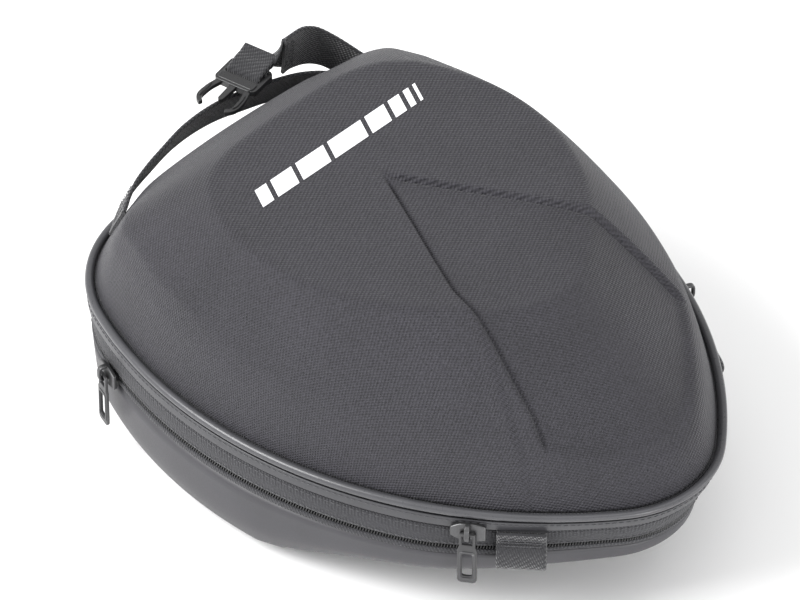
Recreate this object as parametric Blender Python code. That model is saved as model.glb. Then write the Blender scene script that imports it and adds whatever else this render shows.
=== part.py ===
# Tank bag with a moulded hard-shell lid, a zipped expansion gusset, a carry handle
# and a front strap with half of a side-release buckle.
# Metres, +Z up, origin on the underside pad, +Y towards the wide front end.
import math
import bpy
import bmesh
import numpy as np
from mathutils import Vector

MM = 0.001
GAP = 0.3

# plan outline: tangent arcs, right half, measured at the foot of the lid
TAIL_R, TAIL_Y = 53.2, -147.5
SIDE_R, SIDE_X, SIDE_Y = 247.2, -119.1, 5.6
CORNER_R, CORNER_X, CORNER_Y = 70.4, 44.2, 73.3
FRONT_R, FRONT_Y = 600.0, -454.4
SIDE_LOW, SIDE_HIGH, CORNER_HIGH = -52.1, 22.5, 85.2

# heights
PAD_T = 3.0
WALL = 4.0
LID_FOOT = 81.0
PLATEAU = LID_FOOT + 80.5
MAIN_ZIP_Z = LID_FOOT - 10.0
LOWER_ZIP_Z = LID_FOOT - 27.0
BASE_TOP = LOWER_ZIP_Z - 5.2
BASE_FLOOR = PAD_T + GAP

# how the underside climbs towards the tail, and how the lid crease drops there
FLOOR_CLIMB = ((-205, 36), (-190, 31), (-172, 28.5), (-107, 25), (-80, 20.5), (-54, 12), (-35, 4), (-20, 0))
CREASE_LINE = ((-205, 20), (-188, 23), (-158, 30), (-122, 36), (-15, 39.5), (40, 47.5), (80, 52), (120, 51))
TUCK, TUCK_FROM, TUCK_OVER = 10.0, -105.0, 80.0

# radial build-up outside the lid foot
BAND_OUT = 3.0
FLAP_IN, FLAP_OUT = 3.7, 5.0
PIPE_OFFSET, PIPE_R = 3.4, 2.4

# soft webbing
WEB_W, WEB_T = 25.0, 2.0
TAB_LEFT, TAB_RIGHT = -40.2, -29.5
SLIDER_B_ANGLE = -34.2
SLIDER_C_ANGLE = -23.5
SLIDER_A_ANGLE = 19.0

# front face frame for the handle and strap
FACE_TILT = math.radians(64.0)
FACE_Y, FACE_Z = 124.5, LID_FOOT + 36.0
HANDLE_UP = -10.0
BUCKLE_X, BUCKLE_Y, BUCKLE_Z = 29.8, 139.0, LID_FOOT + 49.0
BUCKLE_YAW = math.radians(10.9)

# chevron panel pressed into the lid
APEX_Y = 11.0
CHEVRON_HALF = 22.0
CHEVRON_SINK = 2.4
LEFT_LEG = ((0, 22.0), (1, 18.2), (2, 24.2), (3, 24.2))
RIGHT_LEG = ((0, 26.0), (1, 27.6), (2, 30.0), (3, 30.0))

for old in list(bpy.data.objects):
    bpy.data.objects.remove(old, do_unlink=True)
bag = bpy.data.collections.new("tank_bag")
bpy.context.scene.collection.children.link(bag)
cutters = bpy.data.collections.new("cutters")
bpy.context.scene.collection.children.link(cutters)


def material(name, colour, rough, metal=0.0):
    mat = bpy.data.materials.new(name)
    mat.use_nodes = True
    shader = mat.node_tree.nodes["Principled BSDF"]
    shader.inputs["Base Color"].default_value = (*colour, 1.0)
    shader.inputs["Roughness"].default_value = rough
    shader.inputs["Metallic"].default_value = metal
    return mat


SHELL = (0.085, 0.085, 0.095)
COATED = (0.10, 0.10, 0.105)
WOVEN = (0.055, 0.055, 0.06)
WEBBING = (0.035, 0.035, 0.038)
PLASTIC = (0.03, 0.03, 0.032)
METAL = (0.12, 0.12, 0.125)


def empty(name, place, parent=None):
    thing = bpy.data.objects.new(name, None)
    bag.objects.link(thing)
    thing.parent = parent
    base = parent_place(parent)
    thing.location = [(p - b) * MM for p, b in zip(place, base)]
    thing["place"] = list(place)
    return thing


def parent_place(parent):
    return list(parent["place"]) if parent else [0.0, 0.0, 0.0]


def finish(name, bm, colour, rough, parent=None, metal=0.0, group=None):
    """Turn a bmesh in world millimetres into a named object under its parent."""
    base = Vector(parent_place(parent))
    for vert in bm.verts:
        vert.co = (vert.co - base) * MM
    bmesh.ops.recalc_face_normals(bm, faces=bm.faces)
    mesh = bpy.data.meshes.new(name)
    bm.to_mesh(mesh)
    bm.free()
    obj = bpy.data.objects.new(name, mesh)
    (group or bag).objects.link(obj)
    obj.parent = parent
    if group is None:
        mesh.materials.append(material(name, colour, rough, metal))
    return obj


def smooth(obj, angle=35.0):
    obj.data.shade_smooth()
    obj.data.set_sharp_from_angle(angle=math.radians(angle))
    return obj


def boolean(obj, other, operation):
    mod = obj.modifiers.new(other.name, "BOOLEAN")
    mod.object = other
    mod.operation = operation
    mod.solver = "EXACT"


def ease(value):
    value = min(1.0, max(0.0, value))
    return value * value * (3.0 - 2.0 * value)


def half_stations(front=True):
    """Centre, radius and direction of each step from the tail to the front."""
    steps = [(0, TAIL_Y, TAIL_R, a) for a in np.linspace(-90, SIDE_LOW, 6)[:-1]]
    steps += [(SIDE_X, SIDE_Y, SIDE_R, a) for a in np.linspace(SIDE_LOW, SIDE_HIGH, 13)[:-1]]
    corner = np.linspace(SIDE_HIGH, CORNER_HIGH, 8)
    steps += [(CORNER_X, CORNER_Y, CORNER_R, a) for a in (corner[:-1] if front else corner)]
    if front:
        steps += [(0, FRONT_Y, FRONT_R, a) for a in np.linspace(CORNER_HIGH, 90, 4)]
    return steps


def mirrored(step):
    return (-step[0], step[1], step[2], 180.0 - step[3])


def loop_stations():
    half = half_stations()
    return half + [mirrored(s) for s in half[-2:0:-1]]


def open_stations():
    half = half_stations(front=False)
    return [mirrored(s) for s in half[:0:-1]] + half


def station_point(step, out, z=None):
    """Plan point at one step; below the lid the tail end tucks inwards."""
    turn = math.radians(step[3])
    if z is not None:
        out -= tuck(step[1] + step[2] * math.sin(turn), z)
    return (step[0] + (step[2] + out) * math.cos(turn), step[1] + (step[2] + out) * math.sin(turn))


def tuck(y, z):
    return TUCK * ease((TUCK_FROM - y) / TUCK_OVER) * (LID_FOOT - z) / 30.0


def sweep(name, stations, section, closed, colour, rough, parent=None):
    """Carry a cross-section of (outward, height) corners along the outline."""
    bm = bmesh.new()
    rows = []
    for step in stations:
        row = [bm.verts.new((*station_point(step, out, high), high)) for out, high in section]
        rows.append(row)
    count = len(section)
    pairs = list(zip(rows, rows[1:])) + ([(rows[-1], rows[0])] if closed else [])
    for one, two in pairs:
        for k in range(count):
            bm.faces.new((one[k], two[k], two[(k + 1) % count], one[(k + 1) % count]))
    if not closed:
        bm.faces.new(rows[0][::-1])
        bm.faces.new(rows[-1])
    return smooth(finish(name, bm, colour, rough, parent))


def skin(bm, rings, centre):
    """Quads between rings, then a fan on to one centre point."""
    rows = [[bm.verts.new(p) for p in ring] for ring in rings]
    count = len(rows[0])
    for one, two in zip(rows, rows[1:]):
        for k in range(count):
            bm.faces.new((one[k], two[k], two[(k + 1) % count], one[(k + 1) % count]))
    tip = bm.verts.new(centre)
    for k in range(count):
        bm.faces.new((rows[-1][k], rows[-1][(k + 1) % count], tip))
    return rows[0]


def shell(name, outer, outer_tip, inner, inner_tip, colour, rough, parent=None):
    bm = bmesh.new()
    rim_out = skin(bm, outer, outer_tip)
    rim_in = skin(bm, inner, inner_tip)
    count = len(rim_out)
    for k in range(count):
        bm.faces.new((rim_out[k], rim_in[k], rim_in[(k + 1) % count], rim_out[(k + 1) % count]))
    return smooth(finish(name, bm, colour, rough, parent), 28.0)


def slab(name, outline, holes, frame, low, high, colour, rough, parent=None, metal=0.0, group=None):
    """Flat plate: outline in the frame's first two axes, thickness along its third."""
    origin, first, second, third = frame
    bm = bmesh.new()
    edges = []
    for loop in [outline] + holes:
        ring = [bm.verts.new(origin + first * a + second * b + third * low) for a, b in loop]
        edges += [bm.edges.new((ring[k], ring[(k + 1) % len(ring)])) for k in range(len(ring))]
    bmesh.ops.triangle_fill(bm, use_beauty=True, use_dissolve=True, edges=edges)
    out = bmesh.ops.extrude_face_region(bm, geom=list(bm.faces))
    moved = [v for v in out["geom"] if isinstance(v, bmesh.types.BMVert)]
    bmesh.ops.translate(bm, verts=moved, vec=third * (high - low))
    return finish(name, bm, colour, rough, parent, metal, group)


def rounded(wide, tall, radius, steps=3, centre=(0.0, 0.0)):
    points = []
    for k, (sx, sy) in enumerate(((1, 1), (-1, 1), (-1, -1), (1, -1))):
        for step in range(steps + 1):
            turn = math.radians(90.0 * (k + step / steps))
            points.append((centre[0] + sx * (wide / 2 - radius) + radius * math.cos(turn),
                           centre[1] + sy * (tall / 2 - radius) + radius * math.sin(turn)))
    return points


def ribbon(name, path, widths, wide, thick, colour, rough, parent=None):
    """Flat webbing along a path, its width along one direction or one for each point."""
    bm = bmesh.new()
    points = [Vector(p) for p in path]
    widths = widths if isinstance(widths, list) else [widths] * len(points)
    rows = []
    for k, point in enumerate(points):
        across = Vector(widths[k]).normalized()
        ahead = (points[min(k + 1, len(points) - 1)] - points[max(k - 1, 0)]).normalized()
        face = ahead.cross(across).normalized()
        corners = ((-1, -1), (1, -1), (1, 1), (-1, 1))
        rows.append([bm.verts.new(point + across * a * wide / 2 + face * b * thick / 2) for a, b in corners])
    for one, two in zip(rows, rows[1:]):
        for k in range(4):
            bm.faces.new((one[k], two[k], two[(k + 1) % 4], one[(k + 1) % 4]))
    bm.faces.new(rows[0][::-1])
    bm.faces.new(rows[-1])
    return smooth(finish(name, bm, colour, rough, parent))


# ---------------------------------------------------------------- lower body
def along_y(table, y):
    return float(np.interp(y, [row[0] for row in table], [row[1] for row in table]))


def floor_height(y):
    spread = [along_y(FLOOR_CLIMB, y + step) for step in (-12, -6, 0, 6, 12)]
    return BASE_FLOOR + (sum(spread) / 5.0 if y < -34 else along_y(FLOOR_CLIMB, y))


def base_ring(inset, drop, lift=0.0):
    """One ring of the moulded tub, drop 0 at the rim and 1 on the floor."""
    ring = []
    for step in loop_stations():
        tail = ease((-105.0 - station_point(step, 0)[1]) / 80.0)
        x, y = station_point(step, -inset * (1.0 + 0.4 * tail * drop), BASE_TOP)
        floor = floor_height(y) + lift
        ring.append((x, y, BASE_TOP - (BASE_TOP - floor) * drop))
    return ring


def floor_ring(scale, inset, lift=0.0):
    ring = []
    for x, y, z in base_ring(inset, 1.0, lift):
        ring.append((x * scale, -20 + (y + 20) * scale, floor_height(-20 + (y + 20) * scale) + lift))
    return ring


outer = [base_ring(i, d) for i, d in ((-2.8, 0), (-2.4, 0.3), (-0.8, 0.6), (3.5, 0.85), (8.5, 0.96), (15.0, 1.0))]
outer += [floor_ring(s, 15.0) for s in (0.85, 0.7, 0.5, 0.3)]
inner = [base_ring(i + WALL, d, WALL) for i, d in ((-2.8, 0), (-2.4, 0.3), (-0.8, 0.62), (4, 0.9), (9.0, 0.98))]
inner += [base_ring(15.0 + WALL, 1.0, WALL)] + [floor_ring(s, 19.0, WALL) for s in (0.85, 0.7, 0.5, 0.3)]
centre_floor = floor_height(-20)
shell("base_shell", outer, (0, -20, centre_floor), inner, (0, -20, centre_floor + WALL), SHELL, 0.62)

pad_frame = (Vector((0, 30, 0)), Vector((1, 0, 0)), Vector((0, 1, 0)), Vector((0, 0, 1)))
slab("underside_pad", rounded(150, 130, 30, 5), [], pad_frame, 0.0, PAD_T, (0.02, 0.02, 0.021), 0.85)
board_frame = (Vector((0, 38, BASE_FLOOR + WALL)), Vector((1, 0, 0)), Vector((0, 1, 0)), Vector((0, 0, 1)))
slab("bottom_board", rounded(140, 100, 26, 5), [], board_frame, GAP, GAP + 2.0, (0.06, 0.06, 0.062), 0.7)

coil_section = [(0.6, -0.9), (2.4, -0.9), (3.0, 0.0), (2.4, 0.9), (0.6, 0.9)]
sweep("lower_zip_tape", loop_stations(), [(-0.9, BASE_TOP + GAP), (BAND_OUT, BASE_TOP + GAP),
      (BAND_OUT, LOWER_ZIP_Z - 1.2), (-0.9, LOWER_ZIP_Z - 1.2)], True, WOVEN, 0.9)
sweep("lower_zip_coil", loop_stations(), [(a, LOWER_ZIP_Z + b) for a, b in coil_section],
      True, PLASTIC, 0.5)

# ------------------------------------------------- expansion ring and main zip
ring = empty("expansion_axis", (0, 0, LOWER_ZIP_Z))
band_low, band_high = LOWER_ZIP_Z + 1.2, MAIN_ZIP_Z - 2.4
sweep("gusset_band", loop_stations(), [(0.0, band_low), (BAND_OUT, band_low), (BAND_OUT, band_high),
      (0.0, band_high)], True, WOVEN, 0.9, ring)
skirt = [(-2.0, band_high), (-GAP, band_high), (-GAP, band_low), (-2.6, band_low - 4), (-4.0, band_low - 9),
         (-5.6, band_low - 9), (-4.2, band_low - 4), (-2.0, band_low)]
sweep("gusset_skirt", loop_stations(), skirt, True, (0.03, 0.03, 0.03), 0.9, ring)
sweep("main_zip_coil_lower", open_stations(), [(a, MAIN_ZIP_Z - 1.1 + b) for a, b in coil_section],
      False, PLASTIC, 0.5, ring)

# ---------------------------------------------------------------------- lid
HINGE_Y = FRONT_Y + FRONT_R + FLAP_IN
lid = empty("lid_axis", (0, HINGE_Y, MAIN_ZIP_Z), ring)
sweep("main_zip_coil_upper", open_stations(), [(a, MAIN_ZIP_Z + 1.1 + b) for a, b in coil_section],
      False, PLASTIC, 0.5, lid)
rim_low = MAIN_ZIP_Z + 2.4
sweep("lid_band", loop_stations(), [(-0.9, rim_low), (BAND_OUT, rim_low), (BAND_OUT, rim_low + 3),
      (0.6, rim_low + 5), (0.6, LID_FOOT - GAP), (-0.9, LID_FOOT - GAP)], True, WOVEN, 0.9, lid)
flap_low, flap_high = MAIN_ZIP_Z - 0.4, LID_FOOT - 4.0
sweep("zip_flap", open_stations(), [(FLAP_IN, flap_high), (FLAP_IN, flap_low), (FLAP_OUT, flap_low),
      (FLAP_OUT, flap_high)], False, COATED, 0.45, lid)
pipe = [(PIPE_OFFSET + PIPE_R * math.cos(a), LID_FOOT - 0.6 + PIPE_R * math.sin(a))
        for a in np.linspace(0, 2 * math.pi, 8, endpoint=False)]
sweep("lid_piping", open_stations(), pipe, False, COATED, 0.3, lid)
front_run = [(0, FRONT_Y, FRONT_R, a) for a in np.linspace(85.6, 94.4, 5)]
sweep("hinge_strip", front_run, [(FLAP_IN - 0.4, MAIN_ZIP_Z + GAP), (FLAP_OUT, MAIN_ZIP_Z + GAP),
      (FLAP_OUT, LID_FOOT - 2), (FLAP_IN - 0.4, LID_FOOT - 2)], False, WOVEN, 0.85, lid)

fine = []
for one, two in zip(loop_stations(), loop_stations()[1:] + loop_stations()[:1]):
    fine.append(one)
    if one[:3] == two[:3]:
        fine.append((*one[:3], (one[3] + two[3]) / 2))


def edge_curve(kind, grow=0.0):
    """Plan points of the foot, the crease or the plateau edge."""
    points = []
    for step in fine:
        x, y = station_point(step, 0.0)
        if kind == "plateau":
            points.append((x * 0.70, -16 + (y + 25) * 0.56))
        elif kind == "crease":
            front = ease((y - 100.0) / 42.0)
            points.append(station_point(step, -(11.0 + 20.0 * front + grow)))
        else:
            points.append(station_point(step, -grow))
    return points


def radius_table(points):
    angles = [math.degrees(math.atan2(y - APEX_Y, x)) % 360.0 for x, y in points]
    radii = [math.hypot(x, y - APEX_Y) for x, y in points]
    order = sorted(range(len(angles)), key=lambda k: angles[k])
    return [angles[k] for k in order], [radii[k] for k in order]


CURVES = {"foot": radius_table(edge_curve("foot")), "crease": radius_table(edge_curve("crease")),
          "plateau": radius_table(edge_curve("plateau")),
          "foot_in": radius_table(edge_curve("foot", WALL)),
          "crease_in": radius_table(edge_curve("crease", WALL + 0.8))}


def spoke_radius(kind, angle):
    table = CURVES[kind]
    return float(np.interp(angle % 360.0, table[0], table[1], period=360.0))


def crease_height(y):
    return along_y(CREASE_LINE, y)


spokes = [a for a in np.linspace(-90, 270, 72, endpoint=False) if abs(abs((a + 90)) - CHEVRON_HALF) > 3.0
          and abs(abs(a - 270) - CHEVRON_HALF) > 3.0]
for side in (-1, 1):
    spokes += [-90 + side * (CHEVRON_HALF - 0.7), -90 + side * (CHEVRON_HALF + 0.7)]
spokes = sorted(a % 360.0 for a in spokes)


def leg_turned(angle, level):
    """A spoke's direction at a level: the chevron's legs turn inwards on the slope."""
    aside = (angle + 90.0 + 180.0) % 360.0 - 180.0
    leg = along_y(LEFT_LEG if aside < 0 else RIGHT_LEG, level)
    size = abs(aside)
    if size <= CHEVRON_HALF:
        size = size * leg / CHEVRON_HALF
    elif size < 75.0:
        size = leg + (size - CHEVRON_HALF) * (75.0 - leg) / (75.0 - CHEVRON_HALF)
    return -90.0 + math.copysign(size, aside)


def lid_point(angle, level):
    """Outer lid surface, level 0 at the foot, 1 crease, 2 plateau edge, 3 apex."""
    away = abs((angle + 90.0 + 180.0) % 360.0 - 180.0)
    angle = leg_turned(angle, level)
    turn = math.radians(angle)
    stops = [spoke_radius("foot", angle), spoke_radius("crease", angle), spoke_radius("plateau", angle), 0.0]
    k = min(2, int(level))
    part = level - k
    radius = stops[k] + (stops[k + 1] - stops[k]) * part
    x, y = radius * math.cos(turn), APEX_Y + radius * math.sin(turn)
    crease_y = APEX_Y + stops[1] * math.sin(turn)
    heights = [0.0, crease_height(crease_y), PLATEAU - LID_FOOT, PLATEAU - LID_FOOT]
    z = heights[k] + (heights[k + 1] - heights[k]) * part
    if k == 0:
        z += 3.0 * math.sin(math.pi * part)
    if k == 1:
        z += 1.8 * math.sin(math.pi * part)
    if away < CHEVRON_HALF and level >= 1.0:
        reach = ease(radius / 30.0) * ease((level - 1.0) / 0.25)
        z -= CHEVRON_SINK * reach
    return (x, y, LID_FOOT + z)


def lid_inner(angle, level):
    turn = math.radians(angle)
    stops = [spoke_radius("foot_in", angle), spoke_radius("crease_in", angle),
             spoke_radius("plateau", angle) - 2.0, 0.0]
    k = min(2, int(level))
    part = level - k
    radius = stops[k] + (stops[k + 1] - stops[k]) * part
    crease_y = APEX_Y + stops[1] * math.sin(turn)
    top = PLATEAU - LID_FOOT - WALL
    heights = [0.0, crease_height(crease_y) - 3.0, top, top]
    z = heights[k] + (heights[k + 1] - heights[k]) * part
    return (radius * math.cos(turn), APEX_Y + radius * math.sin(turn), LID_FOOT + z)


outer = [[lid_point(a, level) for a in spokes] for level in (0, 0.5, 1.0, 1.25, 1.6, 2.0, 2.4, 2.75, 2.93)]
inner = [[lid_inner(a, level) for a in spokes] for level in (0, 0.5, 1.0, 2.0, 2.6)]
shell("lid_shell", outer, (0, APEX_Y, PLATEAU), inner, (0, APEX_Y, PLATEAU - WALL), SHELL, 0.65, lid)

lid_frame = (Vector((0, 40, PLATEAU)), Vector((1, 0, 0)), Vector((0, 1, 0)), Vector((0, 0, 1)))
slab("print_mark", [(-58, -6), (55, -6), (61, 6), (-52, 6)], [], lid_frame, GAP, GAP + 0.5,
     (0.85, 0.85, 0.86), 0.5, lid)
pocket_frame = (Vector((0, -10, PLATEAU - WALL)), Vector((1, 0, 0)), Vector((0, 1, 0)), Vector((0, 0, 1)))
slab("lid_pocket_mesh", rounded(116, 96, 18), [], pocket_frame, -4.0, -2.8, (0.02, 0.02, 0.02), 0.9, lid)
slab("lid_pocket_binding", rounded(124, 104, 22), [rounded(116.6, 96.6, 18.3)], pocket_frame,
     -4.6, -GAP, WEBBING, 0.85, lid)

# ------------------------------------------------------- handle on the front
face_out = Vector((0, math.sin(FACE_TILT), math.cos(FACE_TILT)))
face_up = Vector((0, -math.cos(FACE_TILT), math.sin(FACE_TILT)))
face_mid = Vector((0, FACE_Y, FACE_Z))


def on_face(x, out, up=0.0):
    return face_mid + Vector((x, 0, 0)) + face_out * out + face_up * up


arch = [(-77, -5.2), (-73, -3.0), (-68, 0.2), (-59, 4.6), (-47, 8.4), (-34, 11.4), (-20, 14.4), (-10, 15.6)]
arch += [(0, 16.0)] + [(-x, out) for x, out in arch[::-1]]
ribbon("carry_handle", [on_face(x, out, HANDLE_UP) for x, out in arch], face_up, WEB_W, WEB_T, WEBBING, 0.9, lid)

# the strap leaves the right corner, stands off the face and ends in a lapped seam
strap_path = [(100, -18.6, -6), (97, -14.8, -4.5), (93, -9.3, -3), (88, -2, 0), (83, 4.5, 3), (77, 10.5, 6),
              (69, 14.3, 8.3), (60, 15.4, 9), (54.5, 15.1, 9)]
strap_turn = [(0, 0), (0, 0), (0, 0.3), (0, 0.6), (0, 0.8), (0.04, 1), (0, 1), (-0.1, 1), (-0.1, 1)]
strap_width = [face_up * (1 - share) + Vector((0, lean, share)) for lean, share in strap_turn]
strap = empty("strap_axis", tuple(on_face(*strap_path[0])), lid)
ribbon("front_strap", [on_face(*p) for p in strap_path], strap_width, WEB_W, WEB_T, WEBBING, 0.9, strap)

# the buckle lies flat beside it: prongs along run, width along side
buckle_at = Vector((BUCKLE_X, BUCKLE_Y, BUCKLE_Z))
buckle_run = Vector((-math.cos(BUCKLE_YAW), -math.sin(BUCKLE_YAW), 0))
buckle_side = Vector((math.sin(BUCKLE_YAW), -math.cos(BUCKLE_YAW), 0))
buckle_up = Vector((0, 0, 1))

# narrow webbing: sewn on the strap, turned flat, looped round the buckle's middle bar and back
lap = [(on_face(62, 17.4, 8.0), Vector((0, -0.1, 1))), (on_face(55.5, 17.4, 8.2), Vector((0, -0.1, 1)))]
lap.append((on_face(48, 19.4, 7.8), Vector((0, -0.1, 0.65)) + buckle_side * 0.6))
loop = [(-12.0, 2.2), (-8.6, 2.2), (-7.0, 2.1), (-5.9, 1.4), (-5.6, 0), (-5.5, -1.6), (-4.8, -2.9), (-2.8, -3.2),
        (-0.6, -2.9), (0, -1.6), (0, 0.2), (-0.3, 1.6), (-1.6, 2.6), (-3.2, 2.9), (-5, 3.6), (-8, 4.3), (-12, 4.8),
        (-17, 6.5)]
lap += [(buckle_at + buckle_run * a + buckle_up * b, buckle_side) for a, b in loop]
ribbon("strap_tail", [p for p, _ in lap], [w for _, w in lap], 20, 1.5, WEBBING, 0.9, strap)

buckle = (buckle_at, buckle_run, buckle_side, buckle_up)
slots = [rounded(3.2, 20.8, 1, 2, (-5.6, 0)), rounded(3.2, 20.8, 1, 2, (0, 0))]
slab("buckle_body", rounded(19, 25.6, 3, 3, (-0.5, 0)), slots, buckle, -2.0, 1.2, PLASTIC, 0.4, strap)
guide = [(9.4, -2.0), (9.4, 2.0), (21, 1.6), (23, 0), (21, -1.6)]
slab("buckle_guide", guide, [], buckle, -1.8, 1.0, PLASTIC, 0.4, strap)
arm_shape = [(9.4, 7.0), (9.4, 10.6), (16, 12.2), (23.4, 12.6), (27.6, 10.6), (29.4, 7.8), (27.2, 6.8),
             (24.8, 9.2), (16.5, 9.0)]
for side, name in ((1, "left"), (-1, "right")):
    pivot = buckle_at + buckle_run * 10.4 + buckle_side * side * 8.8
    arm = empty("buckle_arm_%s_axis" % name, tuple(pivot), strap)
    slab("buckle_arm_%s" % name, [(a, side * b) for a, b in arm_shape], [], buckle, -1.8, 1.0, PLASTIC, 0.4, arm)

# ------------------------------------------------------------- rear tabs
def outline_frame(kind, angle, z, side):
    """Local frame on the outline: along, up, outward (side -1 is the left)."""
    centre = {"side": (SIDE_X, SIDE_Y, SIDE_R), "corner": (CORNER_X, CORNER_Y, CORNER_R)}[kind]
    step = (*centre, angle) if side > 0 else mirrored((*centre, angle))
    turn = math.radians(step[3])
    out = Vector((math.cos(turn), math.sin(turn), 0))
    up = Vector((0, 0, 1))
    origin = Vector((*station_point(step, 0.0), z))
    return (origin, up.cross(out), up, out)


for side, name, angle in ((-1, "left", TAB_LEFT), (1, "right", TAB_RIGHT)):
    origin, along, up, out = outline_frame("side", angle, 0, side)
    path = [(1.7, -9.6), (1.9, -20), (2.2, -28), (3.8, -32.2), (7.0, -33.6), (10.2, -31.6), (10.9, -28),
            (8.6, -21), (4.9, -16), (4.5, -9.6)]
    points = []
    for reach, drop in path:
        reach += BAND_OUT - tuck(origin.y, LID_FOOT - 1 + drop)
        points.append(origin + out * reach + up * (LID_FOOT - 1 + drop))
    ribbon("webbing_tab_%s" % name, points, along, WEB_W, WEB_T, WEBBING, 0.9, ring)


# ------------------------------------------------------- sliders and pullers
def slider(letter, kind, angle, z, side, parent, centre):
    axis = empty("slider_%s_axis" % letter, (centre[0] * side, centre[1], z), parent)
    origin, along, up, out = outline_frame(kind, angle, z, side)
    face = (origin, along, up, out)
    toward = 1 if side < 0 else -1
    plate = [(9 * toward, -4.5), (9 * toward, 4.5), (3 * toward, 5.6), (-4 * toward, 5.2), (-9 * toward, 2.8),
             (-9 * toward, -2.8), (-4 * toward, -5.2), (3 * toward, -5.6)]
    body = slab("slider_%s" % letter, plate, [], face, 5.4, 7.8, METAL, 0.35, axis, 0.8)
    foot = slab("slider_%s_foot" % letter, [(-7, -6), (7, -6), (7, -1), (-7, -1)], [], face,
                BAND_OUT + 0.4, 5.8, None, None, axis, group=cutters)
    side_on = (origin, out, up, along)
    hook = slab("slider_%s_hook" % letter, [(7.4, 6), (10.4, 6), (12, 4.4), (12, -1.9), (10.4, -3.5), (7.4, -3.5),
                (7.4, -1.7), (9.9, -1.7), (10.5, -1.1), (10.5, 3.6), (9.8, 4.2), (7.4, 4.2)], [], side_on,
                -1.2, 1.2, None, None, axis, group=cutters)
    for part in (foot, hook):
        part.hide_render = True
        part.display_type = "WIRE"
        boolean(body, part, "UNION")
    swing_at = origin + out * 9.1 + up * (-0.2)
    swing = empty("puller_%s_axis" % letter, tuple(swing_at), axis)
    down = (swing_at, along, up, out)
    outline = [(-3.6, 0.8), (3.6, 0.8), (4.2, -0.4), (4.2, -8), (5, -10), (5, -30), (3.6, -32), (-3.6, -32),
               (-5, -30), (-5, -10), (-4.2, -8), (-4.2, -0.4)]
    eye = [(-2.6, -0.8), (2.6, -0.8), (2.6, -6.4), (-2.6, -6.4)]
    window = rounded(5.2, 15, 1.2, 2, (0, -20))
    slab("puller_%s" % letter, outline, [eye, window], down, -0.8, 0.8, METAL, 0.45, swing, 0.4)


side_centre = (SIDE_X, SIDE_Y)
slider("b", "side", SLIDER_B_ANGLE, MAIN_ZIP_Z, -1, ring, side_centre)
slider("c", "side", SLIDER_C_ANGLE, MAIN_ZIP_Z, 1, ring, side_centre)
slider("a", "side", SLIDER_A_ANGLE, LOWER_ZIP_Z, -1, None, side_centre)
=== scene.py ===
# Looks of the tank bag: moulded cloth shells, piping, zips, webbing, buckle and linings
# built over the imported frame. Shapes are worked out in millimetres and stored in metres.
import math
import bmesh
import bpy
import numpy as np
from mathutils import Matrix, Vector


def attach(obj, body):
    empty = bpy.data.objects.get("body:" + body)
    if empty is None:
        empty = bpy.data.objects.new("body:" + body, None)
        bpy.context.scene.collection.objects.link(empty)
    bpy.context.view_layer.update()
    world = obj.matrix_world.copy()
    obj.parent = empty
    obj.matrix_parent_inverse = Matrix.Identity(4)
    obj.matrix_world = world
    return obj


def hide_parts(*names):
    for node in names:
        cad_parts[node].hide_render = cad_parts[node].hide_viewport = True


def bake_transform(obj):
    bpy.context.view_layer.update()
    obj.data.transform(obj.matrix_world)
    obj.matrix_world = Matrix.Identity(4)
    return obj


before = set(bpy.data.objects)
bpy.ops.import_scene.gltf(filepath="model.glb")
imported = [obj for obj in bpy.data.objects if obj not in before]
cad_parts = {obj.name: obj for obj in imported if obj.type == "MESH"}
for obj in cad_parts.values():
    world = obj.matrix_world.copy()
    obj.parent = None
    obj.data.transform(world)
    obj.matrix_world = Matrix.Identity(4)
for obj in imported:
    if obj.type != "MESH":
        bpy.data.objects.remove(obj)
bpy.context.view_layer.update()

MM = 0.001
TAU = 2.0 * math.pi

# plan outline at the foot of the lid: tangent arcs of the right half, tail to front
TAIL_R, TAIL_Y = 53.2, -147.5
SIDE_R, SIDE_X, SIDE_Y = 247.2, -119.1, 5.6
CORNER_R, CORNER_X, CORNER_Y = 70.4, 44.2, 73.3
FRONT_R, FRONT_Y = 600.0, -454.4
SIDE_LOW, SIDE_HIGH, CORNER_HIGH = -52.1, 22.5, 85.2
ARCS = ((0.0, TAIL_Y, TAIL_R, -90.0, SIDE_LOW), (SIDE_X, SIDE_Y, SIDE_R, SIDE_LOW, SIDE_HIGH),
        (CORNER_X, CORNER_Y, CORNER_R, SIDE_HIGH, CORNER_HIGH), (0.0, FRONT_Y, FRONT_R, CORNER_HIGH, 90.0))
LENGTHS = [radius * math.radians(end - start) for _, _, radius, start, end in ARCS]
HALF = sum(LENGTHS)
CORNER_END = HALF - LENGTHS[-1]
HINGE_FROM = 85.6
OUTLINE_STEPS = 420

# heights
PAD_T = 3.0
WALL = 4.0
CLOTH_WALL = WALL - 0.6
LID_FOOT = 81.0
TOP = LID_FOOT + 80.5
MAIN_ZIP_Z = LID_FOOT - 10.0
LOWER_ZIP_Z = LID_FOOT - 27.0
BASE_TOP = LOWER_ZIP_Z - 5.2
BASE_FLOOR = PAD_T + 0.3
FLAT_FLOOR_FROM, FLOOR_MIDDLE = -34, -20
FLOOR_CLIMB = ((-205, 36), (-190, 31), (-172, 28.5), (-107, 25), (-80, 20.5), (-54, 12), (-35, 4), (-20, 0))
CREASE_LINE = ((-205, 20), (-188, 23), (-158, 30), (-122, 36), (-15, 39.5), (40, 47.5), (80, 52), (120, 51))
TUCK, TUCK_FROM, TUCK_OVER = 10.0, -105.0, 80.0

# edge build-up outside the lid foot
BAND_OUT = 3.0
FLAP_IN, FLAP_OUT = 3.7, 5.0
PIPE_OFFSET, PIPE_R = 3.4, 2.4

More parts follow.
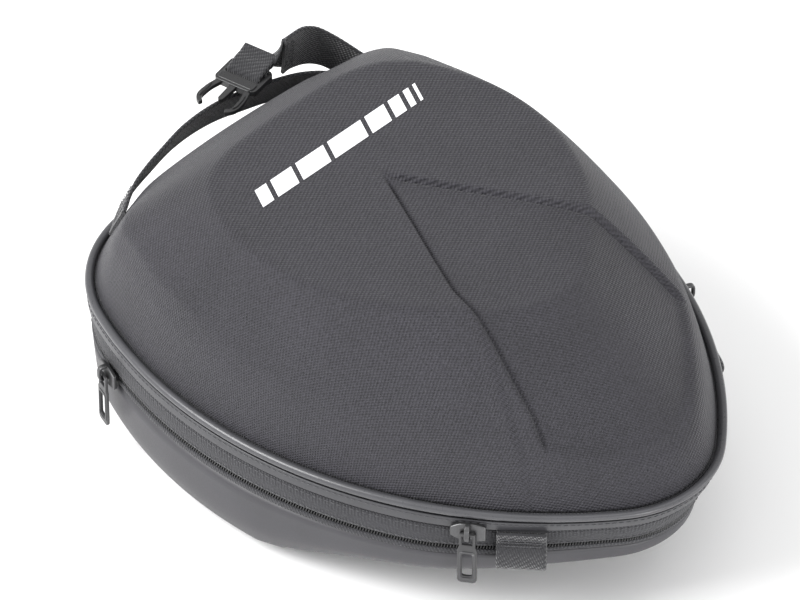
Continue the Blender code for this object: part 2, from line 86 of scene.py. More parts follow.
# flat top of the lid as a share of its foot, and how far the crease stands in from the foot
TOP_WIDE, TOP_LONG = 0.70, 0.56
TOP_MIDDLE, FOOT_MIDDLE = -16, -25
CREASE_IN, CREASE_IN_FRONT = 11.0, 20.0
SLOPE_SWELL = 1.8
PROFILE_POINTS = 150

# webbing, sliders and the front face; the left side is -1
WEB_W, WEB_T = 25.0, 2.0
TAIL_WEB_W, TAIL_WEB_T = 20, 1.5
TAB_ANGLE = {-1: -40.2, 1: -29.5}
TAB_TOP = LID_FOOT - 1
SLIDERS = (("a", 19.0, LOWER_ZIP_Z, -1), ("b", -34.2, MAIN_ZIP_Z, -1), ("c", -23.5, MAIN_ZIP_Z, 1))
STITCH_PITCH, STITCH_LENGTH = 3.4, 2.5
TEETH_PITCH = 1.5
FACE_TILT = math.radians(64.0)
FACE_MID = Vector((0.0, 124.5, LID_FOOT + 36.0))
HANDLE_UP = -10.0
BUCKLE_AT = Vector((29.8, 139.0, LID_FOOT + 49.0))
BUCKLE_YAW = math.radians(10.9)

# chevron pressed into the lid; each leg is a row of (radius, degrees off the middle line)
APEX_Y = 11.0
CHEVRON_DEPTH, CHEVRON_DEEPENS = 2.4, 2.2
EDGE_WIDTH, EDGE_WIDENS = 2.2, 1.6
RADIANS = 0.0175
LEFT_LEG = ((0, 23.0), (70, 24.2), (95, 24.0), (125, 20.6), (158, 18.2))
RIGHT_LEG = ((0, 29.0), (70, 30.0), (95, 30.0), (125, 28.8), (158, 27.6))

# studio: name, place, height aimed at, size and power of each lamp
LAMPS = (("key", (-1.8, 1.0, 1.9), 0.08, 1.5, 100.0),
         ("overhead", (0.5, -0.3, 2.6), 0.08, 1.8, 10.0),
         ("tail_fill", (1.5, -2.0, 0.6), 0.06, 1.2, 14.0),
         ("low_fill", (-0.6, -2.3, 0.25), 0.04, 0.9, 30.0))
WORLD_STRENGTH = 0.85
VIEW_AZIMUTH, VIEW_ELEVATION, VIEW_DISTANCE = math.radians(-46.0), math.radians(42.0), 4.0
LENS, SENSOR, SHIFT = 352.8, 36.0, 3.5 / 800.0

# sockets of the colour mix node
MIX_A, MIX_B, MIX_RESULT = 6, 7, 2


# ------------------------------------------------------------------ materials
def shader_of(name, colour, rough, metal=0.0):
    mat = bpy.data.materials.new(name)
    mat.use_nodes = True
    shader = mat.node_tree.nodes["Principled BSDF"]
    shader.inputs["Base Color"].default_value = (*colour, 1.0)
    shader.inputs["Roughness"].default_value = rough
    shader.inputs["Metallic"].default_value = metal
    return mat, mat.node_tree, shader


def node(tree, kind, **values):
    made = tree.nodes.new(kind)
    for key, value in values.items():
        if key in made.inputs:
            made.inputs[key].default_value = value
        else:
            setattr(made, key, value)
    return made


def math_node(tree, operation, *feeds):
    made = node(tree, "ShaderNodeMath", operation=operation)
    for slot, feed in enumerate(feeds):
        if isinstance(feed, (int, float)):
            made.inputs[slot].default_value = feed
        else:
            tree.links.new(feed, made.inputs[slot])
    return made.outputs[0]


def blend_colour(tree, factor, dark, light):
    mix = node(tree, "ShaderNodeMix", data_type="RGBA")
    tree.links.new(factor, mix.inputs["Factor"])
    mix.inputs[MIX_A].default_value = (*dark, 1.0)
    mix.inputs[MIX_B].default_value = (*light, 1.0)
    return mix.outputs[MIX_RESULT]


def surface_noise(tree, scale, detail=4.0):
    place = node(tree, "ShaderNodeTexCoord")
    noise = node(tree, "ShaderNodeTexNoise", Scale=scale, Detail=detail)
    tree.links.new(place.outputs["Object"], noise.inputs["Vector"])
    return noise.outputs["Fac"]


def bump_from(tree, shader, height, strength, distance):
    bump = node(tree, "ShaderNodeBump", Strength=strength, Distance=distance)
    tree.links.new(height, bump.inputs["Height"])
    tree.links.new(bump.outputs["Normal"], shader.inputs["Normal"])


def threads(tree, across, along, shift=0.5):
    """Height of a plain weave: two thread directions that pass over and under each other."""
    cloth = node(tree, "ShaderNodeUVMap", uv_map="cloth")
    split = node(tree, "ShaderNodeSeparateXYZ")
    tree.links.new(cloth.outputs["UV"], split.inputs[0])
    warp = math_node(tree, "MULTIPLY", split.outputs[0], TAU * 0.5 / across)
    weft = math_node(tree, "MULTIPLY", split.outputs[1], TAU * 0.5 / along)
    slant = math_node(tree, "ADD", weft, math_node(tree, "MULTIPLY", warp, shift))
    crossing = math_node(tree, "MULTIPLY", math_node(tree, "SINE", warp), math_node(tree, "SINE", slant))
    return math_node(tree, "MULTIPLY_ADD", crossing, 0.5, 0.5)


def cloth_material(name, colour, across, along, rough, relief, sheen, spread, shift=0.0):
    """Woven cloth: thread pitch in millimetres both ways, with an uneven, slightly fuzzy colour."""
    mat, tree, shader = shader_of(name, colour, rough)
    weave = threads(tree, across, along, shift)
    patches = surface_noise(tree, 22.0, 3.0)
    fibres = surface_noise(tree, 800.0, 3.0)
    mixed = math_node(tree, "MULTIPLY_ADD", patches, 0.25, math_node(tree, "MULTIPLY", weave, 0.4))
    mixed = math_node(tree, "MULTIPLY_ADD", fibres, 0.8, math_node(tree, "ADD", mixed, -0.25))
    dark = [c * (1.0 - spread) for c in colour]
    light = [c * (1.0 + spread) for c in colour]
    tree.links.new(blend_colour(tree, mixed, dark, light), shader.inputs["Base Color"])
    uneven = math_node(tree, "MULTIPLY_ADD", fibres, 0.16, rough - 0.08)
    tree.links.new(uneven, shader.inputs["Roughness"])
    relief_height = math_node(tree, "MULTIPLY_ADD", fibres, 1.1, weave)
    bump_from(tree, shader, relief_height, relief, 0.0005)
    shader.inputs["Sheen Weight"].default_value = sheen
    shader.inputs["Sheen Roughness"].default_value = 0.45
    shader.inputs["Specular IOR Level"].default_value = 0.32
    return mat


def coated_material(name, colour, rough, relief=0.12, grain=900.0):
    """Smooth coated cloth or print with a fine grain."""
    mat, tree, shader = shader_of(name, colour, rough)
    fine = surface_noise(tree, grain, 3.0)
    broad = surface_noise(tree, 40.0, 3.0)
    light = [c * 1.25 for c in colour]
    dark = [c * 0.8 for c in colour]
    tree.links.new(blend_colour(tree, broad, dark, light), shader.inputs["Base Color"])
    tree.links.new(math_node(tree, "MULTIPLY_ADD", fine, 0.18, rough - 0.09), shader.inputs["Roughness"])
    bump_from(tree, shader, fine, relief, 0.0002)
    return mat


def hard_material(name, colour, rough, metal, highlight_colour, grain=1400.0):
    """Moulded plastic or coated metal whose sharp edges carry a painted highlight in a lighter colour."""
    mat, tree, shader = shader_of(name, colour, rough, metal)
    fine = surface_noise(tree, grain, 3.0)
    shape = node(tree, "ShaderNodeNewGeometry")
    edges = node(tree, "ShaderNodeMapRange")
    edges.inputs["From Min"].default_value = 0.52
    edges.inputs["From Max"].default_value = 0.62
    tree.links.new(shape.outputs["Pointiness"], edges.inputs["Value"])
    # sharp edges found by pointiness are painted lighter: a painted highlight along the edges
    painted_highlight_mask = math_node(tree, "MULTIPLY", edges.outputs[0], fine)
    tree.links.new(blend_colour(tree, painted_highlight_mask, colour, highlight_colour), shader.inputs["Base Color"])
    tree.links.new(math_node(tree, "MULTIPLY_ADD", fine, 0.16, rough - 0.08), shader.inputs["Roughness"])
    bump_from(tree, shader, fine, 0.08, 0.0002)
    return mat


def rubber_material(name, colour):
    """Non-slip rubber with a field of small raised dots."""
    mat, tree, shader = shader_of(name, colour, 0.8)
    place = node(tree, "ShaderNodeTexCoord")
    dots = node(tree, "ShaderNodeTexVoronoi", Scale=260.0, Randomness=0.15)
    tree.links.new(place.outputs["Object"], dots.inputs["Vector"])
    raised = math_node(tree, "SUBTRACT", 0.6, dots.outputs["Distance"])
    fine = surface_noise(tree, 900.0)
    light = [c * 1.8 for c in colour]
    tree.links.new(blend_colour(tree, fine, colour, light), shader.inputs["Base Color"])
    bump_from(tree, shader, raised, 0.6, 0.0006)
    return mat


SHELL_CLOTH = cloth_material("shell_cloth", (0.026, 0.025, 0.031), 1.3, 1.0, 0.6, 1.0, 0.1, 0.95, 0.35)
LOWER_CLOTH = coated_material("lower_shell_cloth", (0.034, 0.033, 0.038), 0.46, 0.14, 1300.0)
LINING = cloth_material("lining_cloth", (0.045, 0.045, 0.05), 0.7, 0.7, 0.85, 0.4, 0.15, 0.2)
BAND_CLOTH = cloth_material("band_cloth", (0.03, 0.03, 0.034), 1.0, 0.9, 0.8, 1.0, 0.15, 0.8, 0.5)
SKIRT_CLOTH = cloth_material("skirt_cloth", (0.025, 0.025, 0.026), 0.6, 0.6, 0.9, 0.4, 0.2, 0.3)
PIPING = coated_material("piping_coat", (0.055, 0.055, 0.06), 0.3)
FLAP_COAT = coated_material("flap_coat", (0.036, 0.036, 0.04), 0.42)
WEBBING = cloth_material("webbing", (0.023, 0.023, 0.026), 1.0, 1.4, 0.72, 1.0, 0.35, 0.5, 0.5)
THREAD = cloth_material("thread", (0.045, 0.045, 0.05), 0.3, 0.3, 0.6, 0.3, 0.3, 0.3)
# the last colour of each hard material is the painted highlight on its sharp edges
PLASTIC = hard_material("buckle_plastic", (0.016, 0.016, 0.017), 0.3, 0.0, (0.08, 0.08, 0.08))
TEETH = hard_material("zip_teeth", (0.02, 0.02, 0.021), 0.4, 0.0, (0.06, 0.06, 0.06))
METAL = hard_material("slider_metal", (0.07, 0.07, 0.073), 0.34, 0.85, (0.35, 0.35, 0.35))
PULLER = hard_material("puller_metal", (0.05, 0.05, 0.052), 0.4, 0.5, (0.2, 0.2, 0.2))
BOARD = hard_material("board_plastic", (0.05, 0.05, 0.052), 0.55, 0.0, (0.09, 0.09, 0.09))
PRINT = coated_material("pale_print", (0.78, 0.78, 0.8), 0.5)
RUBBER = rubber_material("grip_rubber", (0.012, 0.012, 0.013))


# ------------------------------------------------------------------- geometry
def ease(value):
    value = np.clip(value, 0.0, 1.0)
    return value * value * (3.0 - 2.0 * value)


def tuck(y, z):
    """How far the sides come in under the tail, below the lid."""
    return TUCK * ease((TUCK_FROM - y) / TUCK_OVER) * (LID_FOOT - z) / 30.0


def around(run):
    """Centre, radius and direction at a distance along the outline from the tail, right side positive."""
    side = 1.0 if run >= 0 else -1.0
    left = abs(run)
    for (x, y, radius, start, end), length in zip(ARCS, LENGTHS):
        if left <= length or end == 90.0:
            turn = start + math.degrees(min(left, length) / radius)
            break
        left -= length
    return (side * x, y, radius, turn if side > 0 else 180.0 - turn)


def plan(step, out, z=None):
    """Plan point outside the outline at one step, tucked in under the tail below the lid."""
    turn = math.radians(step[3])
    if z is not None:
        out -= tuck(step[1] + step[2] * math.sin(turn), z)
    return (step[0] + (step[2] + out) * math.cos(turn), step[1] + (step[2] + out) * math.sin(turn))


def run_at(angle, side):
    """Distance along the outline to an angle on a side arc."""
    return side * (LENGTHS[0] + SIDE_R * math.radians(angle - SIDE_LOW))


def new_object(name, mesh, mats):
    obj = bpy.data.objects.new(name, mesh)
    bpy.context.scene.collection.objects.link(obj)
    for mat in mats:
        mesh.materials.append(mat)
    return obj


def lattice(name, points, mats, wrap_rows=False, wrap_cols=False, cloth=None, cap_rows=False, sharp=40.0):
    """Quads over a grid of points in millimetres, with a cloth map in millimetres."""
    points = np.asarray(points, float)
    rows, cols = points.shape[:2]
    rr, cc = np.meshgrid(np.arange(rows - (not wrap_rows)), np.arange(cols - (not wrap_cols)), indexing="ij")
    rr, cc = rr.ravel(), cc.ravel()
    corners = [(rr, cc), (rr + 1, cc), (rr + 1, cc + 1), (rr, cc + 1)]
    faces = np.stack([(r % rows) * cols + c % cols for r, c in corners], -1).tolist()
    if cloth is None:
        steps = np.linalg.norm(np.diff(points, axis=0), axis=2).mean(1)
        sides = np.linalg.norm(np.diff(points, axis=1), axis=2).mean(0)
        along = np.concatenate([[0.0], np.cumsum(steps), [steps.sum() + steps[-1]]])
        across = np.concatenate([[0.0], np.cumsum(sides), [sides.sum() + sides[-1]]])
        uv = [np.stack([across[c], along[r]], -1) for r, c in corners]
    else:
        uv = [cloth[r % rows, c % cols] for r, c in corners]
    uv = np.stack(uv, 1).reshape(-1, 2)
    if cap_rows:
        faces += [list(range(cols)), list(range((rows - 1) * cols, rows * cols))[::-1]]
        uv = np.concatenate([uv, np.zeros((2 * cols, 2))])
    mesh = bpy.data.meshes.new(name)
    mesh.from_pydata((points.reshape(-1, 3) * MM).tolist(), [], faces)
    layer = mesh.uv_layers.new(name="cloth")
    layer.data.foreach_set("uv", uv.astype(np.float32).ravel())
    tidy_normals(mesh)
    mesh.shade_smooth()
    if sharp:
        mesh.set_sharp_from_angle(angle=math.radians(sharp))
    return new_object(name, mesh, mats)


def tidy_normals(mesh):
    bm = bmesh.new()
    bm.from_mesh(mesh)
    bmesh.ops.recalc_face_normals(bm, faces=bm.faces)
    bm.to_mesh(mesh)
    bm.free()


def sweep(name, runs, section, mats, closed, sharp=40.0):
    """Carry a closed section of (outward, height) points along the outline."""
    rows = []
    for run in runs:
        step = around(run)
        rows.append([(*plan(step, out, z), z) for out, z in section])
    return lattice(name, rows, mats, wrap_rows=closed, wrap_cols=True, cap_rows=not closed, sharp=sharp)


def loop_runs(count):
    """Distances all the way round the outline."""
    return np.linspace(-HALF, HALF, count, endpoint=False)


def open_runs(count):
    """Distances from one front corner round the tail to the other."""
    return np.linspace(-CORNER_END, CORNER_END, count)


def rounded_section(low_out, high_out, low_z, high_z, radius, steps=4):
    """Rectangle in (outward, height) with round corners."""
    points = []
    for k, (sx, sz) in enumerate(((1, 1), (-1, 1), (-1, -1), (1, -1))):
        for step in range(steps + 1):
            turn = math.radians(90.0 * (k + step / steps))
            out = (low_out + high_out) / 2 + sx * ((high_out - low_out) / 2 - radius)
            height = (low_z + high_z) / 2 + sz * ((high_z - low_z) / 2 - radius)
            points.append((out + radius * math.cos(turn), height + radius * math.sin(turn)))
    return points


def copies(name, shape, places, mats):
    """One small mesh repeated at many places: each place is origin, first, second and third axis."""
    verts, faces = shape
    verts = np.asarray(verts, float)
    points, quads = [], []
    for k, (origin, first, second, third) in enumerate(places):
        axes = np.array([first, second, third])
        points.append(verts @ axes + np.array(origin))
        quads += [[index + k * len(verts) for index in face] for face in faces]
    mesh = bpy.data.meshes.new(name)
    mesh.from_pydata((np.concatenate(points) * MM).tolist(), [], quads)
    mesh.uv_layers.new(name="cloth")
    tidy_normals(mesh)
    mesh.shade_smooth()
    return new_object(name, mesh, mats)


def capsule(length, wide, tall, sides=6):
    """A stitch: a slim rounded bar along the first axis, tapered at its ends."""
    stops = ((-0.5, 0.25), (-0.38, 0.8), (0.0, 1.0), (0.38, 0.8), (0.5, 0.25))
    verts = []
    for at, size in stops:
        for k in range(sides):
            verts.append((length * at, wide / 2 * size * math.cos(TAU * k / sides),
                          tall / 2 * size * math.sin(TAU * k / sides)))
    faces = []
    for ring in range(len(stops) - 1):
        here, ahead = ring * sides, (ring + 1) * sides
        for k in range(sides):
            side = (k + 1) % sides
            faces.append([here + k, ahead + k, ahead + side, here + side])
    last = (len(stops) - 1) * sides
    return verts, faces + [list(range(sides))[::-1], list(range(last, last + sides))]


def outline_places(runs, out, z, spin=0.0):
    """Places along the outline with axes along, up and outward."""
    found = []
    for run in runs:
        step = around(run)
        turn = math.radians(step[3])
        outward = Vector((math.cos(turn), math.sin(turn), 0.0))
        up = Vector((0.0, 0.0, 1.0))
        along = up.cross(outward)
        found.append(((*plan(step, out, z), z), along * math.cos(spin) + up * math.sin(spin),
                      up * math.cos(spin) - along * math.sin(spin), outward))
    return found


def stitch_row(name, end, out, z, body):
    """Row of stitches along the outline, as far as end on both sides of the tail."""
    runs = np.linspace(-end, end, int(2 * end / STITCH_PITCH))
    row = copies(name, capsule(STITCH_LENGTH, 0.7, 0.6), outline_places(runs, out, z), [THREAD])
    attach(row, body)


def replaced_by(piece, body, name):
    """The piece rides on the body and takes the place of the CAD node."""
    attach(piece, body)
    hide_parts(name)


def plate(name, outline, holes, place, low, high, mats, bevel):
    """Flat piece with softened edges: outline in the first two axes, thickness along the third."""
    origin, first, second, third = place
    bm = bmesh.new()
    edges = []
    for loop in [outline] + holes:
        ring = [bm.verts.new((origin + first * a + second * b + third * low) * MM) for a, b in loop]
        edges += [bm.edges.new((ring[k], ring[(k + 1) % len(ring)])) for k in range(len(ring))]
    bmesh.ops.triangle_fill(bm, use_beauty=True, use_dissolve=True, edges=edges)
    out = bmesh.ops.extrude_face_region(bm, geom=list(bm.faces))
    moved = [v for v in out["geom"] if isinstance(v, bmesh.types.BMVert)]
    bmesh.ops.translate(bm, verts=moved, vec=third * (high - low) * MM)
    bmesh.ops.recalc_face_normals(bm, faces=bm.faces)
    bmesh.ops.dissolve_limit(bm, angle_limit=0.01, verts=bm.verts, edges=bm.edges)
    mesh = bpy.data.meshes.new(name)
    bm.to_mesh(mesh)
    bm.free()
    mesh.uv_layers.new(name="cloth")
    obj = new_object(name, mesh, mats)
    mesh.shade_smooth()
    mod = obj.modifiers.new("soft_edges", "BEVEL")
    mod.width = bevel * MM
    mod.segments = 3
    mod.limit_method = "ANGLE"
    mod.angle_limit = math.radians(35)
    mod.harden_normals = True
    return obj


def rounded(wide, tall, radius, steps, centre):
    """Rectangle with round corners."""
    points = []
    for k, (sx, sy) in enumerate(((1, 1), (-1, 1), (-1, -1), (1, -1))):
        for step in range(steps + 1):
            turn = math.radians(90.0 * (k + step / steps))
            points.append((centre[0] + sx * (wide / 2 - radius) + radius * math.cos(turn),
                           centre[1] + sy * (tall / 2 - radius) + radius * math.sin(turn)))
    return points


def smooth_path(path, step=0.8):
    """Points every step along a smooth curve through the path's points."""
    path = np.asarray([tuple(p) for p in path], float)
    ends = np.concatenate([[2 * path[0] - path[1]], path, [2 * path[-1] - path[-2]]])
    points = []
    for a, b, c, d in zip(ends, ends[1:], ends[2:], ends[3:]):
        for t in np.linspace(0, 1, max(2, int(np.linalg.norm(c - b) / step)), endpoint=False):
            points.append(0.5 * (2 * b + (c - a) * t + (2 * a - 5 * b + 4 * c - d) * t ** 2
                                 + (3 * b - a - 3 * c + d) * t ** 3))
    return np.array(points + [path[-1]])


def webbing(name, path, widths, wide, thick):
    """Woven strap along a path: flat section with thicker selvedges.

    Its width lies along one direction, or along a list with one for each point.
    """
    line = smooth_path(path)
    if not isinstance(widths, list):
        widths = [widths] * len(path)
    stops = [int(np.argmin(np.linalg.norm(line - np.array(p), axis=1))) for p in path]
    stops = np.maximum.accumulate(stops)
    flat = np.array([tuple(Vector(w).normalized()) for w in widths])
    turned = np.stack([np.interp(np.arange(len(line)), stops, flat[:, k]) for k in range(3)], -1)
    half = wide / 2
    shape = [(-half, -0.25), (-half + 0.6, -0.52), (-half + 1.8, -0.5), (-half + 2.6, -0.42), (0, -0.42),
             (half - 2.6, -0.42), (half - 1.8, -0.5), (half - 0.6, -0.52), (half, -0.25)]
    shape += [(a, -b) for a, b in shape[::-1]]
    rows = []
    ahead = np.gradient(line, axis=0)
    for point, direction, across in zip(line, ahead, turned):
        across = across / np.linalg.norm(across)
        face = np.cross(direction, across)
        face /= np.linalg.norm(face)
        rows.append([point + across * a + face * b * thick for a, b in shape])
    return lattice(name, rows, [WEBBING], wrap_cols=True, cap_rows=True, sharp=60.0)


def soften(lines, width):
    """Smooth each profile of a (points, profiles, 2) array along its length, its ends kept."""
    reach = int(3 * width)
    weights = np.exp(-0.5 * (np.arange(-reach, reach + 1) / width) ** 2)
    weights /= weights.sum()
    first, last = lines[:1], lines[-1:]
    before = 2 * first - lines[reach:0:-1]
    after = 2 * last - lines[-2:-reach - 2:-1]
    padded = np.concatenate([before, lines, after])
    made = sum(w * padded[k:k + len(lines)] for k, w in enumerate(weights))
    made[0], made[-1] = lines[0], lines[-1]
    return made


def resample(line, count):
    """The same polyline with points spaced evenly along it."""
    line = np.asarray(line, float)
    lengths = np.concatenate([[0], np.cumsum(np.linalg.norm(np.diff(line, axis=0), axis=1))])
    at = np.linspace(0, lengths[-1], count)
    return np.stack([np.interp(at, lengths, line[:, k]) for k in range(line.shape[1])], -1)


# ------------------------------------------------------------------------ lid
def edge_curve(kind):
    """Plan points of the lid's foot, its crease or the edge of its flat top."""
    points = []
    for run in loop_runs(900):
        step = around(run)
        x, y = plan(step, 0.0)
        if kind == "top":
            points.append((x * TOP_WIDE, TOP_MIDDLE + (y - FOOT_MIDDLE) * TOP_LONG))
        elif kind == "crease":
            points.append(plan(step, -(CREASE_IN + CREASE_IN_FRONT * float(ease((y - 100.0) / 42.0)))))
        else:
            points.append((x, y))
    return points


def radius_table(points):
    """Angles and distances of plan points seen from the apex of the chevron."""
    flat = np.array(points)
    angles = np.degrees(np.arctan2(flat[:, 1] - APEX_Y, flat[:, 0])) % 360.0
    order = np.argsort(angles)
    return angles[order], np.hypot(flat[:, 0], flat[:, 1] - APEX_Y)[order]


CURVES = {kind: radius_table(edge_curve(kind)) for kind in ("foot", "crease", "top")}


def spoke_radius(kind, angle):
    angles, radii = CURVES[kind]
    return float(np.interp(angle % 360.0, angles, radii, period=360.0))


def from_table(table, at):
    return np.interp(at, [row[0] for row in table], [row[1] for row in table])


def lid_profile(angle, count):
    """(radius, height) points from the foot to the apex along one spoke."""
    foot, crease, top = (spoke_radius(kind, angle) for kind in ("foot", "crease", "top"))
    turn = math.radians(angle)
    rise = float(from_table(CREASE_LINE, APEX_Y + crease * math.sin(turn)))
    flat = TOP - LID_FOOT
    line = [(foot, 0.0), (foot + (crease - foot) * 0.25, rise * 0.3 + 2.0),
            (foot + (crease - foot) * 0.6, rise * 0.68 + 2.2), (crease, rise)]
    for part in (0.2, 0.4, 0.6, 0.8):
        swell = SLOPE_SWELL * math.sin(math.pi * part)
        line.append((crease + (top - crease) * part, rise + (flat - rise) * part + swell))
    line += [(top, flat), (top * 0.5, flat), (0.0, flat)]
    return resample(line, count)


def lid_surface(angles):
    """Grid of the outer lid: rows from the foot inwards, one column for each spoke."""
    lines = np.stack([lid_profile(a, PROFILE_POINTS) for a in angles], 1)
    lines = soften(lines, 1.5)
    turn = np.radians(angles)[None, :]
    radius, height = lines[..., 0], lines[..., 1]
    aside = ((angles + 90.0 + 180.0) % 360.0 - 180.0)[None, :]
    leg = np.where(aside < 0, from_table(LEFT_LEG, radius), from_table(RIGHT_LEG, radius))
    crease = np.array([spoke_radius("crease", a) for a in angles])[None, :]
    within = (leg - np.abs(aside)) * np.maximum(radius, 4.0) * RADIANS
    wide = EDGE_WIDTH + EDGE_WIDENS * ease((radius - 60.0) / 80.0)
    inside = ease(within / wide + 0.5)
    fade = ease(radius / 12.0) * ease((crease + 2.0 - radius) / 10.0)
    depth = CHEVRON_DEPTH + CHEVRON_DEEPENS * ease((radius - 70.0) / 70.0)
    valley = 1.0 * np.exp(-((within - wide * 0.45) / 1.1) ** 2)
    height = height - (depth * inside + valley) * fade
    x = radius * np.cos(turn)
    y = APEX_Y + radius * np.sin(turn)
    return np.stack([x, y, LID_FOOT + height], -1)


def lid_spokes():
    """Directions from the apex, closer together along the two legs of the chevron."""
    fine = set(np.round(np.arange(0.0, 360.0, 1.2), 3))
    for side in (-1, 1):
        low, high = (15.0, 27.5) if side < 0 else (24.0, 34.0)
        fine |= set(np.round((-90 + side * np.arange(low, high, 0.3)) % 360.0, 3))
    return np.array(sorted(fine))


def moulded_shell(shell, is_rim, body, name):
    """Close the hole in the middle of an open shell, give it a foam wall and a lining."""
    bm = bmesh.new()
    bm.from_mesh(shell.data)
    rim = [e for e in bm.edges if e.is_boundary and is_rim(e.verts[0].co.z)]
    bmesh.ops.contextual_create(bm, geom=rim)
    bmesh.ops.recalc_face_normals(bm, faces=bm.faces)
    bm.to_mesh(shell.data)
    bm.free()
    shell.data.shade_smooth()
    wall = shell.modifiers.new("foam_wall", "SOLIDIFY")
    wall.thickness = CLOTH_WALL * MM
    wall.offset = -1.0
    wall.material_offset = 1
    replaced_by(shell, body, name)


def make_lid():
    angles = lid_spokes()
    grid = lid_surface(angles)[:-1]
    steps = np.linalg.norm(np.diff(grid, axis=0), axis=2)
    reach = np.concatenate([np.zeros((1, len(angles))), np.cumsum(steps, 0)])
    reach = reach[-1:] - reach + 1.0
    turn = np.radians(angles)[None, :]
    cloth = np.stack([reach * np.cos(turn), reach * np.sin(turn)], -1)
    lid = lattice("lid_cover", grid, [SHELL_CLOTH, LINING], wrap_cols=True, cloth=cloth, sharp=0)
    moulded_shell(lid, lambda z: z > (TOP - 8) * MM, "lid", "lid_shell")


make_lid()


# ----------------------------------------------------------------- lower shell
def floor_height(y):
    """Height of the tub's floor, its bends smoothed where it climbs to the tail."""
    if y >= FLAT_FLOOR_FROM:
        return BASE_FLOOR + float(from_table(FLOOR_CLIMB, y))
    spread = [float(from_table(FLOOR_CLIMB, y + step)) for step in range(-12, 13, 3)]
    return BASE_FLOOR + sum(spread) / len(spread)


SIDE_SHAPE = ((-2.8, 0.0), (-2.4, 0.3), (-0.8, 0.6), (3.5, 0.85), (8.5, 0.96), (15.0, 1.0))


def base_profile(step):
    """Points of the tub's outer face from its rim to the middle of the floor."""
    line = []
    side = resample(SIDE_SHAPE, 40)
    side = soften(np.stack([side], 1), 2.0)[:, 0]
    for inset, drop in side:
        tail = float(ease((TUCK_FROM - plan(step, 0)[1]) / TUCK_OVER))
        x, y = plan(step, -inset * (1.0 + 0.4 * tail * drop), BASE_TOP)
        floor = floor_height(y)
        line.append((x, y, BASE_TOP - (BASE_TOP - floor) * drop))
    x, y, _ = line[-1]
    for scale in np.linspace(1.0, 0.03, 26)[1:]:
        far = FLOOR_MIDDLE + (y - FLOOR_MIDDLE) * scale
        line.append((x * scale, far, floor_height(far)))
    return line


def make_base():
    profiles = [base_profile(around(run)) for run in loop_runs(OUTLINE_STEPS)]
    grid = np.array(profiles).transpose(1, 0, 2)
    base = lattice("base_tub", grid, [LOWER_CLOTH, LINING], wrap_cols=True, sharp=0)
    moulded_shell(base, lambda z: z < 20 * MM, "base", "base_shell")


make_base()


# -------------------------------------------------------- bands, zips, piping
def band(name, body, section, mats, replaced, closed=True, sharp=40.0):
    """A strip that follows the outline: all round it, or open across the front."""
    runs = loop_runs(OUTLINE_STEPS) if closed else open_runs(OUTLINE_STEPS)
    replaced_by(sweep(name, runs, section, mats, closed, sharp), body, replaced)


def make_bands():
    tape = rounded_section(-0.9, BAND_OUT, BASE_TOP + 0.3, LOWER_ZIP_Z - 1.2, 0.9)
    band("lower_zip_tape_cloth", "base", tape, [BAND_CLOTH], "lower_zip_tape")
    gusset = rounded_section(0.0, BAND_OUT, LOWER_ZIP_Z + 1.2, MAIN_ZIP_Z - 2.4, 1.2)
    band("gusset_band_cloth", "expansion_ring", gusset, [BAND_CLOTH], "gusset_band")
    rim = [(-0.9, MAIN_ZIP_Z + 2.4), (BAND_OUT - 0.5, MAIN_ZIP_Z + 2.4), (BAND_OUT, MAIN_ZIP_Z + 3.0),
           (BAND_OUT, MAIN_ZIP_Z + 4.8), (0.6, MAIN_ZIP_Z + 7.2), (0.6, LID_FOOT - 0.3),
           (-0.9, LID_FOOT - 0.3)]
    band("lid_band_cloth", "lid", rim, [BAND_CLOTH], "lid_band")
    flap = rounded_section(FLAP_IN, FLAP_OUT, MAIN_ZIP_Z - 0.4, LID_FOOT - 4.0, 0.6)
    band("zip_flap_coat", "lid", flap, [FLAP_COAT], "zip_flap", closed=False)
    pipe = [(PIPE_OFFSET + PIPE_R * math.cos(a), LID_FOOT - 0.6 + PIPE_R * math.sin(a))
            for a in np.linspace(0, TAU, 20, endpoint=False)]
    band("lid_piping_coat", "lid", pipe, [PIPING], "lid_piping", closed=False, sharp=0)
    stitch_row("flap_stitches", CORNER_END - 3, FLAP_OUT + 0.1, LID_FOOT - 5.6, "lid")
    stitch_row("gusset_stitches_upper", HALF, BAND_OUT + 0.1, MAIN_ZIP_Z - 4.6, "expansion_ring")
    stitch_row("gusset_stitches_lower", HALF, BAND_OUT + 0.1, LOWER_ZIP_Z + 3.2, "expansion_ring")


def make_skirt():
    """Folded gusset cloth swept round the outline between the ring and the tub."""
    high, low = MAIN_ZIP_Z - 2.4, LOWER_ZIP_Z + 1.2
    folds = [(-2.0, high), (-0.3, high), (-0.3, low), (-2.6, low - 4), (-4.0, low - 9), (-5.6, low - 9),
             (-4.2, low - 4), (-2.0, low)]
    skirt = sweep("gusset_skirt_cloth", loop_runs(OUTLINE_STEPS), folds, [SKIRT_CLOTH], True, 60.0)
    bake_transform(skirt)
    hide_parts("gusset_skirt")


def teeth_row(name, body, end, z, lean, replaced):
    """Half of a coil zip: one small rounded turn after another, set between those of the other half."""
    runs = np.arange(-end + (TEETH_PITCH / 2 if lean > 0 else 0.0), end, TEETH_PITCH)
    places = outline_places(runs, 1.9, z, math.radians(90.0 - 14.0 * lean))
    replaced_by(copies(name, capsule(2.5, 0.72, 2.0), places, [TEETH]), body, replaced)


def make_zips():
    teeth_row("main_teeth_lower", "expansion_ring", CORNER_END, MAIN_ZIP_Z - 1.1, -1, "main_zip_coil_lower")
    teeth_row("main_teeth_upper", "lid", CORNER_END, MAIN_ZIP_Z + 1.1, 1, "main_zip_coil_upper")
    teeth_row("lower_teeth", "base", HALF, LOWER_ZIP_Z, 1, "lower_zip_coil")


make_bands()
make_skirt()
make_zips()


